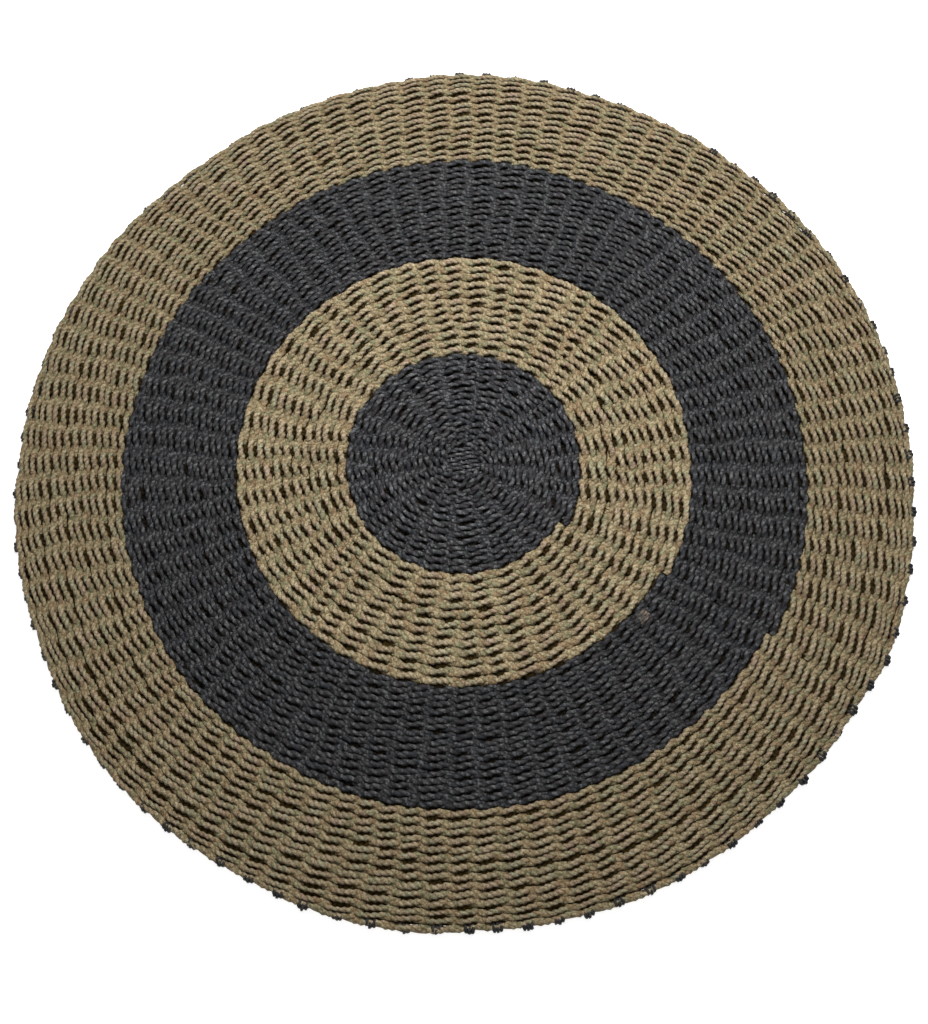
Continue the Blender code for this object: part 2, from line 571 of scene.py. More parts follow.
def guide_mesh(lines):
    """Mesh of open lines; each line holds arrays of places, sides and the guide's numbers."""
    mesh = bpy.data.meshes.new("guide")
    places = np.concatenate([line["place"] for line in lines])
    edges = []
    start = 0
    for line in lines:
        count = len(line["place"])
        steps = np.arange(start, start + count - 1)
        edges.append(np.stack([steps, steps + 1], -1))
        start += count
    mesh.from_pydata(places.tolist(), np.concatenate(edges).tolist(), [])
    for label in GUIDE_NUMBERS:
        values = np.concatenate([np.broadcast_to(line[label], len(line["place"])) for line in lines])
        mesh.attributes.new(label, "FLOAT", "POINT").data.foreach_set("value", values.astype(np.float32))
    sides = np.concatenate([line["side"] for line in lines]).astype(np.float32)
    mesh.attributes.new("side", "FLOAT_VECTOR", "POINT").data.foreach_set("vector", sides.ravel())
    return mesh


def lay_cords(name, lines, settings):
    """A plain mesh of cords along guide lines, made by the cord tree with the settings given."""
    guide = add_object(name + "_guide", guide_mesh(lines))
    tree = shared_tree("Seagrass cord", "GeometryNodeTree", CORD_INPUTS, "NodeSocketGeometry", build_cord)
    modifier = guide.modifiers.new("Cord", "NODES")
    modifier.node_group = tree
    for item in tree.interface.items_tree:
        if item.item_type == "SOCKET" and item.in_out == "INPUT" and item.name in settings:
            modifier[item.identifier] = settings[item.name]
    evaluated = guide.evaluated_get(bpy.context.evaluated_depsgraph_get())
    mesh = bpy.data.meshes.new_from_object(evaluated)
    mesh.name = name
    # Pressed flat where it lies on the floor
    corners = np.empty(3 * len(mesh.vertices), dtype=np.float32)
    mesh.vertices.foreach_get("co", corners)
    corners[2::3] = np.maximum(corners[2::3], 0.0)
    mesh.vertices.foreach_set("co", corners)
    guide_data = guide.data
    bpy.data.objects.remove(guide)
    bpy.data.meshes.remove(guide_data)
    return add_object(name, mesh)


def keep_piece(piece):
    """Fixes a finished piece to the rug."""
    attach(piece, "root")


# A stitch is a strand's way from one crossing to the next: its slack, a strand's thickness and
# height at a crossing, how far crossings shift, and the places of its points under a warp
STITCH_SLACK = 1.06
CROSSING_THICKNESS = 1.15
CROSSING_RISE = 0.02
CROSSING_SHIFT = 0.07
TURN_OVER = 0.10
UNDER_STEPS = (0.0, 0.18, 0.34, 0.50, 0.66, 0.82)
SHORT_UNDER_STEPS = (0.0, 0.34, 0.50, 0.66)
SHORT_STITCH = 0.018

# Mean and spread of a stitch's bow, fullness and lift, and the lifts of the last rows
BOW = (0.0008, 0.0005)
FULLNESS = (1.0, 0.08)
LIFT = (1.0, 0.05)
EDGE_LIFTS = (0.95, 0.90, 0.65)

# Slots are longer from this row on: powers of climb and dive, and the room that warps have
LONG_SLOT_ROW = 42
LONG_SLOTS = (1.2, 1.5, 0.29)
SHORT_SLOTS = (1.8, 2.2, 0.20)


def cord_settings(sizes, material, width, thickness, spread=0.0, lift=0.0):
    """Inputs of the cord tree for one cord, which has no spread or lift where it isn't twined."""
    return {
        "Spread": spread,
        "Lift": lift,
        "Top Width": width,
        "Top Thickness": thickness,
        "Crossing Width": width * sizes.crossing_share,
        "Crossing Thickness": sizes.strand_thickness * CROSSING_THICKNESS,
        "Ply Depth": sizes.ply_depth,
        "Sides": sizes.sides,
        "Cord": material,
    }


def lay_plain_cords(name, lines, cord, width, thickness):
    """A finished piece of cords that aren't twined."""
    sizes = bpy.context.scene.seagrass_sizes
    material = cord_material(cord, bpy.context.scene.seagrass_colours)
    settings = cord_settings(sizes, material, width, thickness)
    keep_piece(lay_cords(name, lines, settings))


def turned_over(step):
    """Share of a stitch's way outwards that is done: slow where strands cross, quick over a warp."""
    return step - TURN_OVER * np.sin(TURN * step) / TURN


def strand_lines(first, last, ply_turn, rng_seed):
    """Guide lines of the two strands that twine through a run of rows."""
    rng = np.random.default_rng(rng_seed)
    samples = round(ply_turn / STEP_LENGTH)
    lines = [[], []]
    twist = [0.0, 0.5]
    run = [0.0, 0.0]
    cell = 0
    for row in range(first, last):
        turns = warp_turns(row + 0.5)
        edges = crossings(turns)
        edges[1:-1] += rng.normal(0.0, CROSSING_SHIFT, len(edges) - 2) / len(turns)
        climb, dive, _ = LONG_SLOTS if row >= LONG_SLOT_ROW else SHORT_SLOTS
        for low, high in zip(edges[:-1], edges[1:]):
            middle = row + 0.5 + spiral_offset(0.5 * (low + high))
            ends = place(np.array([low, high]), np.full(2, middle))
            length = float(np.linalg.norm(ends[1] - ends[0])) * STITCH_SLACK
            over = (cell % 2 == 0, cell % 2 == 1)
            bow = rng.normal(*BOW)
            full = rng.normal(*FULLNESS)
            lift = rng.normal(*LIFT)
            if row >= ROWS - len(EDGE_LIFTS):
                lift *= EDGE_LIFTS[row - ROWS + len(EDGE_LIFTS)]
            for strand in (0, 1):
                if over[strand]:
                    count = max(4, round(length / STEP_LENGTH))
                    steps = np.arange(count) / count
                    turned = np.arange(count) / samples
                    turned_end = count / samples
                else:
                    steps = np.array(SHORT_UNDER_STEPS if length < SHORT_STITCH else UNDER_STEPS)
                    count = len(steps)
                    turned = np.arange(count) * 1.0
                    turned_end = float(count)
                turn = low + (high - low) * steps
                at = row + 0.5 + spiral_offset(turn)
                wave = np.sin(np.pi * steps)
                across = np.cos(np.pi * turned_over(steps))
                if over[strand]:
                    rise = CROSSING_RISE + (lift - CROSSING_RISE) * wave**climb
                    across = -across
                else:
                    rise = CROSSING_RISE - (1.0 + CROSSING_RISE) * wave**dive
                if row == ROWS - 1:
                    at = row + 0.5 + last_row_offset(turn)
                    tuck = tucked_in(turn)
                    rise = rise * (1.0 - tuck) + TUCKED_RISE * tuck
                out = wander(ROW_WANDER, turn, at) + (bow * wave if over[strand] else 0.0)
                lines[strand].append({
                    "place": place(turn, at, out),
                    "across": across * pitch_at(at),
                    "rise": rise,
                    "twist": twist[strand] + turned,
                    "run": run[strand] + length * steps,
                    "tint": np.full(count, rng.random()),
                    "fullness": 1.0 + (full - 1.0) * wave,
                })
                twist[strand] += turned_end
                run[strand] += length
            cell += 1
    joined = []
    for strand in (0, 1):
        parts = lines[strand]
        line = {key: np.concatenate([part[key] for part in parts]) for key in parts[0]}
        outwards = line["place"] * np.array([1.0, 1.0, 0.0])
        line["side"] = outwards / np.linalg.norm(outwards, axis=1, keepdims=True)
        line["tint"] = line["tint"] + strand
        joined.append(line)
    return joined


def principled(name):
    """A material and its shader."""
    material = bpy.data.materials.new(name)
    material.use_nodes = True
    return material, material.node_tree, material.node_tree.nodes["Principled BSDF"]


# A ply's roundness, and blades across it and along the cord; grain is over the whole rug
PLY_ROUNDNESS = 0.55
PLY_RELIEF = 0.7
BLADES_ACROSS = 2.4
BLADES_ALONG = 90.0
GRAIN_SCALE = 420.0
PLY_INPUTS = (
    ("Section", "NodeSocketVector"),
    ("Cord", "NodeSocketVector"),
    ("Fibre Strength", "NodeSocketFloat", 0.35),
)


def build_plies(tree, given):
    """Shader group: relief, grooves and fibres of a two-ply cord, from its section attribute."""
    section = separated(tree, given["Section"])
    cord = separated(tree, given["Cord"])
    angle = maths(tree, "ARCTAN2", section["Y"], section["X"])
    turned = maths(tree, "SUBTRACT", angle, product(tree, section["Z"], np.pi))
    facing = maths(tree, "COSINE", turned)
    crown = maths(tree, "POWER", maths(tree, "ABSOLUTE", facing), PLY_ROUNDNESS)

    # Fine blades lie along each ply: narrow across it and long along the cord
    across = product(tree, turned, BLADES_ACROSS)
    along = product(tree, cord["X"], BLADES_ALONG)
    blades = noise(tree, combined(tree, X=across, Y=along, Z=cord["Y"]), 2.2, 3.0, 0.65)

    # Frayed blades break up the lay in patches about two millimetres across
    grain = noise(tree, tree.nodes.new("ShaderNodeTexCoord").outputs["Object"], GRAIN_SCALE)
    relief = maths(tree, "MULTIPLY_ADD", blades, given["Fibre Strength"], grain)
    return {
        "Relief": maths(tree, "MULTIPLY_ADD", crown, PLY_RELIEF, relief),
        "Groove": maths(tree, "SUBTRACT", 1.0, crown),
        "Ply": maths(tree, "GREATER_THAN", facing, 0.0),
        "Fibre": blades,
        "Crown": maths(tree, "ABSOLUTE", section["Y"]),
        "Grain": grain,
        "Over": cord["Z"],
    }


# How far strands and plies lie apart in the noises, and a speck's length
STRAND_LANE = 17.0
PLY_LANE = 5.3
SPECK_LENGTH = 0.005
TINT_INPUTS = (
    ("Cord", "NodeSocketVector"),
    ("Ply", "NodeSocketFloat"),
    ("Leaf Length", "NodeSocketFloat", 0.25),
)


def build_tints(tree, given):
    """Shader group: slow changes of hue and brightness along a strand, and from ply to ply."""
    cord = separated(tree, given["Cord"])
    strand = maths(tree, "FLOOR", cord["Y"])
    lane = maths(tree, "MULTIPLY_ADD", strand, STRAND_LANE, product(tree, given["Ply"], PLY_LANE))
    leaf = maths(tree, "DIVIDE", cord["X"], given["Leaf Length"])
    slow = noise(tree, combined(tree, X=leaf, Y=lane))
    patches = noise(tree, combined(tree, X=product(tree, leaf, 7.0), Y=lane, Z=13.0))
    bright = noise(tree, combined(tree, X=product(tree, leaf, 5.0), Y=lane, Z=7.0))
    bumps = maths(tree, "DIVIDE", cord["X"], SPECK_LENGTH)
    stitch = add_node(tree, "ShaderNodeTexWhiteNoise", {"W": cord["Y"]}, noise_dimensions="1D")
    return {
        "Hue": maths(tree, "ADD", slow, maths(tree, "SUBTRACT", patches, 0.5)),
        "Brightness": maths(tree, "MULTIPLY_ADD", stitch.outputs["Value"], 0.35, bright),
        "Speck": noise(tree, combined(tree, X=bumps, Y=lane, Z=3.0), detail=1.0),
    }


def colour_ramp(tree, factor, stops):
    """Colour of a ramp with stops given as pairs of place and colour."""
    node = add_node(tree, "ShaderNodeValToRGB", {"Fac": factor})
    elements = node.color_ramp.elements
    while len(elements) < len(stops):
        elements.new(0.5)
    for element, (at, colour) in zip(elements, stops):
        element.position = at
        element.color = (*colour, 1.0)
    return node.outputs[0]


def mix_colour(tree, factor, low, high, blend_type="MIX"):
    """Colour between two, or two multiplied."""
    inputs = {0: factor}
    for socket, colour in ((6, low), (7, high)):
        inputs[socket] = colour if isinstance(colour, bpy.types.NodeSocket) else (*colour, 1.0)
    return add_node(tree, "ShaderNodeMix", inputs, data_type="RGBA", blend_type=blend_type).outputs[2]


def map_range(tree, value, low, high, to_low, to_high):
    """A value moved from one range to another, clamped."""
    inputs = {"Value": value, "From Min": low, "From Max": high, "To Min": to_low, "To Max": to_high}
    return add_node(tree, "ShaderNodeMapRange", inputs).outputs[0]


def cord_nodes(tree, fibre, leaf):
    """What a cord's material reads, by name: the outputs of the two shared groups, and its place."""
    section = add_node(tree, "ShaderNodeAttribute", attribute_name="section").outputs["Vector"]
    cord = add_node(tree, "ShaderNodeAttribute", attribute_name="cord").outputs["Vector"]
    plies = shared_tree("Two-ply cord", "ShaderNodeTree", PLY_INPUTS, "NodeSocketFloat", build_plies)
    inputs = {"Section": section, "Cord": cord, "Fibre Strength": fibre}
    ply = add_node(tree, "ShaderNodeGroup", inputs, node_tree=plies)
    tints = shared_tree("Strand tints", "ShaderNodeTree", TINT_INPUTS, "NodeSocketFloat", build_tints)
    inputs = {"Cord": cord, "Ply": ply.outputs["Ply"], "Leaf Length": leaf}
    tint = add_node(tree, "ShaderNodeGroup", inputs, node_tree=tints)
    read = {socket.name: socket for node in (ply, tint) for socket in node.outputs}
    read["Place"] = cord
    return read


def shading(tree, read, steps):
    """Product of what a table's steps read, each mapped to its range where it has one."""
    factors = []
    for label, *ends in steps:
        factors.append(map_range(tree, read[label], *ends) if ends else read[label])
    return product(tree, *factors)


def finish_cord(tree, shader, read, colour, roughness, gloss):
    """Sets a cord's colour, roughness, gloss and relief on its shader."""
    bump = {"Height": read["Relief"], "Distance": 0.0009, "Strength": 0.9}
    feed(tree, shader, {
        "Base Color": colour,
        "Roughness": map_range(tree, read["Fibre"], 0.3, 0.7, *roughness),
        "Specular IOR Level": gloss,
        "Normal": add_node(tree, "ShaderNodeBump", bump).outputs[0],
    })


# Factors: what is read, its low and high, and what they become. In the two shade tables the Groove rows
# are painted shade between the plies; the other rows are the cords' own tone, specks, fibres and grain.
NATURAL_SHADE = (
    ("Brightness", 0.35, 1.0, 0.62, 1.0),
    ("Speck", 0.35, 0.65, 0.66, 1.24),
    ("Fibre", 0.38, 0.62, 0.62, 1.12),
    ("Grain", 0.36, 0.64, 0.36, 1.38),
    ("Groove", 0.20, 0.80, 1.06, 0.46),
)
# Where dyed cords turn grey: on the ply crowns only, as worn dye and painted glints
WORN_DYE_AND_GLINTS = (
    ("Speck", 0.42, 0.68, 0.0, 1.0),
    ("Fibre",),
    ("Groove", 0.0, 0.5, 2.9, 0.0),
    ("Grain", 0.40, 0.62, 0.2, 1.3),
)
# Painted shade between the plies, and the cords' own grain
DYE_SHADE = (
    ("Groove", 0.20, 0.80, 1.06, 0.42),
    ("Grain", 0.36, 0.64, 0.72, 1.12),
)


def natural_cord_material(name, colours, brightest):
    """Natural seagrass: straw, ochre, olive and mauve blades, with painted highlight colours on their
    crowns and painted shade in the grooves, down the flanks and at the crossings.
    """
    material, tree, shader = principled(name)
    read = cord_nodes(tree, 0.45, 0.11)
    # Crossings have the cords' own colours; on the crowns the straw and green are paler and greyer as
    # painted highlight, beside mauve
    low = ((0.36, colours.olive), (0.46, colours.straw), (0.54, colours.straw), (0.64, colours.ochre))
    pale = colours.crown_highlight
    high = ((0.36, colours.sage_highlight), (0.48, pale), (0.54, pale), (0.66, colours.mauve))
    crossing = colour_ramp(tree, read["Hue"], low)
    crown = colour_ramp(tree, read["Hue"], high)
    colour = mix_colour(tree, map_range(tree, read["Over"], 0.3, 0.9, 0.0, 0.9), crossing, crown)
    # Painted shade: darker down the flanks, most on the crowns and least at the crossings, and darker
    # where the strands cross low down
    low_flank = map_range(tree, read["Over"], 0.2, 0.8, 0.90, 0.36)
    flank_shade = blend(tree, map_range(tree, read["Crown"], 0.1, 0.95, 0.0, 1.0), low_flank, 1.0)
    bright = product(tree, shading(tree, read, NATURAL_SHADE), flank_shade)
    bright = product(tree, bright, map_range(tree, read["Over"], 0.1, 0.8, 0.80, 1.0))
    shade = mix_colour(tree, bright, colours.shadow, (brightest, brightest, brightest))
    colour = mix_colour(tree, 1.0, colour, shade, "MULTIPLY")
    finish_cord(tree, shader, read, colour, (0.62, 0.82), 0.35)
    return material


def dark_cord_material(name, dyes, worn_and_glint_charcoal, gloss=0.3, strength=0.77, by_run=False):
    """Dyed seagrass: stops of dye by hue or by run, greyer on the crowns as worn dye and as painted
    glints, with painted shade in the grooves, down the flanks and at the crossings.
    """
    material, tree, shader = principled(name)
    read = cord_nodes(tree, 0.5, 0.12)
    dye = colour_ramp(tree, separated(tree, read["Place"])["X"] if by_run else read["Hue"], dyes)
    # Worn dye and painted glints turn the dye grey on the ply crowns
    colour = mix_colour(tree, shading(tree, read, WORN_DYE_AND_GLINTS), dye, worn_and_glint_charcoal)
    # Painted shade down the flanks and where the strands cross low down
    flank_shade = ("Crown", 0.1, 0.95, 0.50 * strength, 1.05 * strength)
    deep = shading(tree, read, DYE_SHADE + (flank_shade, ("Over", 0.0, 0.7, 0.84, 1.0)))
    grey = {"Red": deep, "Green": deep, "Blue": deep}
    shade = add_node(tree, "ShaderNodeCombineColor", grey).outputs[0]
    colour = mix_colour(tree, 1.0, colour, shade, "MULTIPLY")
    finish_cord(tree, shader, read, colour, (0.50, 0.72), gloss)
    return material


# Natural cords by the brightness of their crowns; any other cord is dyed
BRIGHTEST = {"natural": 1.315, "pale": 1.65, "rim": 1.28}
CORD_MATERIALS = {
    "natural": "natural_seagrass",
    "pale": "pale_seagrass",
    "rim": "rim_seagrass",
    "dark": "dyed_seagrass",
    "ring": "ring_seagrass",
    "warp": "dyed_warp",
    "end": "dyed_ends",
    "faded": "faded_seagrass",
}

# The warps' colour changes over this far on both sides of a band's edge: darkened dye in the dark bands,
# painted bounce light from the natural cords in the natural bands
DYE_EDGE = 0.002


def cord_material(cord, colours):
    """The material of a cord by its plain name, made once."""
    name = CORD_MATERIALS[cord]
    if name in bpy.data.materials:
        return bpy.data.materials[name]
    if cord in BRIGHTEST:
        return natural_cord_material(name, colours, BRIGHTEST[cord])
    # Warps: darkened dye as painted shade in the dark bands, and painted bounce light in the natural
    # bands
    if cord == "warp":
        deep = colours.warp_charcoal_and_slot_shade
        dyes = []
        for number, (_, outer) in enumerate(BANDS[:3]):
            edge = outer * RIM_RADIUS
            low, high = (deep, colours.slot_bounce_brown) if number % 2 == 0 else (colours.slot_bounce_brown, deep)
            dyes += [(edge - DYE_EDGE, low), (edge + DYE_EDGE, high)]
        return dark_cord_material(name, dyes, deep, 0.04, by_run=True)
    if cord == "end":
        dyes = ((0.1, colours.dyed_end), (0.9, colours.faded))
        return dark_cord_material(name, dyes, colours.charcoal, by_run=True)
    if cord == "faded":
        return dark_cord_material(name, [(0.5, colours.faded)] * 2, colours.mauve)
    dyes = ((0.38, colours.blue_charcoal), (0.50, colours.charcoal), (0.62, colours.plum_charcoal))
    strength = 0.60 if cord == "ring" else 0.77
    return dark_cord_material(name, dyes, colours.worn_and_glint_charcoal, strength=strength)


# Heights round the top of a warp's cord and at a warp's edges, as shares of the layer's, and the
# least upward lean that a cord's section is given
CORD_HEIGHTS = (0.45, 0.80, 1.0, 0.80)
EDGE_HEIGHT = 0.15
LEAST_LEAN = 0.2
CENTRE_RADIUS = 0.010


def warp_profile(row):
    """Turns, half thicknesses, drops and sections round the layer of warps at a row coordinate."""
    sizes = bpy.context.scene.seagrass_sizes
    turns = warp_turns(min(max(row, 0.0), ROWS - 0.01))
    edges = crossings(turns)
    radius = max(float(share_at(row)) * RIM_RADIUS, CENTRE_RADIUS)
    result = []
    for turn, low, high in zip(turns, edges[:-1], edges[1:]):
        room = (LONG_SLOTS if row >= LONG_SLOT_ROW else SHORT_SLOTS)[2] * (high - low)
        half = min(0.5 * WARP_CORDS * sizes.warp_cord_width / (TURN * radius), room)
        corners = WARP_CORDS * len(CORD_HEIGHTS)
        for corner in range(corners + 1):
            cord, quarter = divmod(corner, len(CORD_HEIGHTS))
            at_edge = corner in (0, corners)
            around = np.pi * quarter / len(CORD_HEIGHTS)
            result.append((
                turn + half * (2.0 * corner / corners - 1.0),
                EDGE_HEIGHT if at_edge else CORD_HEIGHTS[quarter],
                GAP_DROP if at_edge else 0.0,
                -np.cos(around) if cord % 2 == 1 else np.cos(around),
                max(np.sin(around), LEAST_LEAN),
            ))
    return result


def join_rings(inner, outer):
    """Corner indices of faces between two rings given as lists of (turn, index)."""
    faces = []
    i = 0
    o = 0
    while i < len(inner) or o < len(outer):
        next_in = inner[(i + 1) % len(inner)]
        next_out = outer[(o + 1) % len(outer)]
        in_turn = next_in[0] + (i + 1) // len(inner)
        out_turn = next_out[0] + (o + 1) // len(outer)
        here_in = inner[i % len(inner)][1]
        here_out = outer[o % len(outer)][1]
        if len(inner) == len(outer):
            faces.append((here_in, here_out, next_out[1], next_in[1]))
            i += 1
            o += 1
        elif o < len(outer) and (out_turn < in_turn or i >= len(inner)):
            faces.append((here_in, here_out, next_out[1]))
            o += 1
        else:
            faces.append((here_in, here_out, next_in[1]))
            i += 1
    return faces


# The warp layer: its first and last row coordinates, the spacing of its rings, and how far the
# tint changes from a warp to the next
WARP_START_ROW = -0.4
WARP_END_ROW = 55.2
WARP_RING_STEP = 0.030
WARP_TINT_STEP = 0.37
RIM_WARPS = WARP_ZONES[-1][1]


def warp_rows():
    """Row coordinates of the warp layer's rings."""
    stops = [WARP_START_ROW] + [float(zone[0]) for zone in WARP_ZONES[1:]] + [WARP_END_ROW]
    rows = []
    for low, high in zip(stops, stops[1:]):
        length = float(share_at(high) - share_at(low)) * RIM_RADIUS
        count = max(2, round(length / WARP_RING_STEP))
        rows += [low + (high - low) * step / count for step in range(count)]
    return rows + [WARP_END_ROW]


class SEAGRASS_OT_lay_warps(bpy.types.Operator):
    """Lay the dark warp cords side by side, as the sheet that the weft twines round; between warps the
    sheet is painted shade.
    """

    bl_idname = "seagrass.lay_warps"
    bl_label = "Lay Warps"

    def execute(self, context):
        sizes = context.scene.seagrass_sizes
        half = 0.5 * sizes.warp_thickness
        verts = []
        section = []
        cord = []
        faces = []
        borders = []
        for side in (1.0, -1.0):
            rings = []
            for row in warp_rows():
                ring = []
                profile = warp_profile(row)
                turns = np.array([entry[0] for entry in profile])
                offset = last_row_offset(turns) if row == WARP_END_ROW else spiral_offset(0.5)
                places = place(turns, np.full(len(turns), row) + offset)
                for spot, (turn, height, drop, cosine, sine) in zip(places, profile):
                    ring.append((turn, len(verts)))
                    verts.append((spot[0], spot[1], MID_HEIGHT - drop + side * half * height))
                    run = float(share_at(row)) * RIM_RADIUS
                    section.append((cosine, sine * side, run / DARK_PLY_TURN))
                    tint = round(turn * RIM_WARPS) * WARP_TINT_STEP % 2.0
                    cord.append((run, tint, height * side))
                rings.append(ring)
            for inner, outer in zip(rings, rings[1:]):
                faces += join_rings(inner, outer)
            borders.append((rings[0], rings[-1]))
        for top, bottom in zip(*borders):
            faces += join_rings(top, bottom)
        mesh = bpy.data.meshes.new("warps")
        mesh.from_pydata(verts, [], faces)
        for label, values in (("section", section), ("cord", cord)):
            data = np.array(values, dtype=np.float32).ravel()
            mesh.attributes.new(label, "FLOAT_VECTOR", "POINT").data.foreach_set("vector", data)
        bm = bmesh.new()
        bm.from_mesh(mesh)
        bmesh.ops.recalc_face_normals(bm, faces=bm.faces)
        bm.to_mesh(mesh)
        bm.free()
        mesh.shade_smooth()
        mesh.materials.append(cord_material("warp", context.scene.seagrass_colours))
        warps = add_object("warps", mesh)
        keep_piece(warps)
        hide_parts("mat")
        return {"FINISHED"}


class SEAGRASS_OT_twine_weft(bpy.types.Operator):
    """Twine the two weft strands round the warps, one piece for each run of rows."""

    bl_idname = "seagrass.twine_weft"
    bl_label = "Twine Weft"

    def execute(self, context):
        sizes = context.scene.seagrass_sizes
        widths = {"natural": sizes.natural_width, "pale": sizes.pale_width, "rim": sizes.rim_width}
        for number, (name, cord, first, last) in enumerate(WEFT_PIECES):
            if cord in BRIGHTEST:
                slot, ply_turn, spread = "natural_cord", NATURAL_PLY_TURN, sizes.spread
                crossing = sizes.outer_crossing_share if cord == "natural" else sizes.crossing_share
            else:
                slot, ply_turn, spread = "dark_cord", DARK_PLY_TURN, sizes.dark_spread
                crossing = sizes.dark_crossing_share
            lines = strand_lines(first, last, ply_turn, sizes.seed + number)
            material = cord_material(cord, context.scene.seagrass_colours)
            width = widths.get(cord, sizes.dark_width)
            settings = cord_settings(sizes, material, width, sizes.strand_thickness, spread, sizes.lift)
            settings["Crossing Width"] = width * crossing
            keep_piece(lay_cords(name, lines, settings))
        return {"FINISHED"}


# How far apart cords that aren't twined start in the noises, and the thickness of those cords
RUN_APART = 3.0
LAID_THICKNESS = 0.0042
SPLICE_THICKNESS = 0.0036


def plain_line(places, side, first_twist, tint):
    """A guide line through places, with one side direction, for a cord that isn't twined."""
    lengths = np.linalg.norm(np.diff(places, axis=0), axis=1)
    run = np.concatenate([[0.0], np.cumsum(lengths)])
    count = len(places)
    return {
        "place": places,
        "across": np.zeros(count),
        "rise": np.ones(count),
        "twist": first_twist + run / DARK_PLY_TURN,
        "run": run + RUN_APART * tint,
        "tint": np.full(count, tint),
        "fullness": np.ones(count),
        "side": np.broadcast_to(np.array(side, dtype=float), (count, 3)),
    }


def smooth_path(points, spacing):
    """Places spaced along a smooth curve through points."""
    points = np.array(points, dtype=float)
    padded = np.concatenate([[2.0 * points[0] - points[1]], points, [2.0 * points[-1] - points[-2]]])
    result = []
    for a, b, c, d in zip(padded, padded[1:], padded[2:], padded[3:]):
        steps = max(1, round(np.linalg.norm(c - b) / spacing))
        for step in range(steps):
            t = step / steps
            curve = (2.0 * a - 5.0 * b + 4.0 * c - d) * t**2 + (3.0 * b - a - 3.0 * c + d) * t**3
            result.append(0.5 * (2.0 * b + (c - a) * t + curve))
    return np.array(result + [points[-1]])


# The ends are pushed further in towards this side, by up to this far
PUSHED_IN_ANGLE = np.radians(140.0)
PUSHED_IN = 0.0012

# Mean and spread of an end's reach outwards, lowness and lean, and of one cord's own reach
END_REACH = (0.0004, 0.0007)
END_LOWNESS = (0.15, 0.25)
END_LEAN = (0.0, 0.0012)
OWN_REACH = (0.0, 0.0005)
END_REACH_LIMITS = (-0.0006, 0.0016)

# The middle cord of an end stands out by this far and the others stand back, and all bend together
# over this far from the edge
MIDDLE_OUT = 0.0006
BEND_LENGTH = 0.012
BEND_CLOSER = 0.12

# Path of a warp's end over the last row: outwards from the edge, its height, and its lowest height
TURNED_END = (
    (-0.0112, 0.0048, 0.0048),
    (-0.0078, 0.0060, 0.0052),
    (-0.0048, 0.0088, 0.0062),
    (-0.0020, 0.0108, 0.0074),
    (0.0004, 0.0100, 0.0070),
    (0.0014, 0.0062, 0.0048),
    (-0.0020, 0.0026, 0.0026),
    (-0.0100, 0.0026, 0.0026),
)


class SEAGRASS_OT_turn_in_ends(bpy.types.Operator):
    """Turn the ends of the warps in over the last row, as dark knobs round the rim."""

    bl_idname = "seagrass.turn_in_ends"
    bl_label = "Turn In Ends"

    def execute(self, context):
        sizes = context.scene.seagrass_sizes
        rng = np.random.default_rng(sizes.seed + 40)
        lines = []
        for turn in warp_turns(ROWS - 0.5):
            angle = SEAM_ANGLE - TURN * turn
            pushed_in = (0.5 + 0.5 * np.cos(angle - PUSHED_IN_ANGLE)) ** 2
            reach = float(np.clip(rng.normal(*END_REACH), *END_REACH_LIMITS)) - PUSHED_IN * pushed_in
            low = float(np.clip(pushed_in + rng.normal(*END_LOWNESS), 0.0, 1.0))
            lean = rng.normal(*END_LEAN)
            row = ROWS + float(last_row_offset(turn))
            for cord in range(WARP_CORDS):
                aside = (cord - 0.5 * (WARP_CORDS - 1)) * sizes.knob_cord_width
                own = rng.normal(*OWN_REACH) + (MIDDLE_OUT if cord == 1 else -MIDDLE_OUT)
                path = []
                for out, high_up, low_down in TURNED_END:
                    near_edge = smooth((out + BEND_LENGTH) / BEND_LENGTH)
                    spot = place(turn, row, out + (reach + own) * near_edge)
                    outwards = np.array([spot[0], spot[1], 0.0]) / np.hypot(spot[0], spot[1])
                    clockwise = np.array([outwards[1], -outwards[0], 0.0])
                    closer = aside * (1.0 - BEND_CLOSER * near_edge)
                    spot = spot + clockwise * (closer + lean * near_edge)
                    path.append((spot[0], spot[1], high_up + (low_down - high_up) * low))
                side = (np.sin(angle), -np.cos(angle), 0.0)
                line = plain_line(smooth_path(path, 0.0034), side, rng.random(), rng.random())
                # The dye of an end fades with how low it lies
                # An end's colour goes from the dyed end's towards the faded one the lower it lies
                line["run"] = 0.03 + 0.9 * low + 0.05 * rng.random() + 0.01 * line["run"]
                lines.append(line)
        width = sizes.knob_cord_width
        lay_plain_cords("turned_in_ends", lines, "end", width, LAID_THICKNESS)
        return {"FINISHED"}


# The centre cross: the angle and height of each layer, its cords, the room that each has, its
# radius, and the places of points along a cord
CROSS_LAYERS = ((np.radians(99.0), 0.0042), (np.radians(9.0), 0.0086))
CROSS_CORDS = 6
CROSS_CORD_WIDTH = 0.0062
CROSS_ROOM = 1.03
CROSS_RADIUS = 0.0265
CROSS_STEPS = (-1.0, -0.82, -0.5, 0.0, 0.5, 0.82, 1.0)


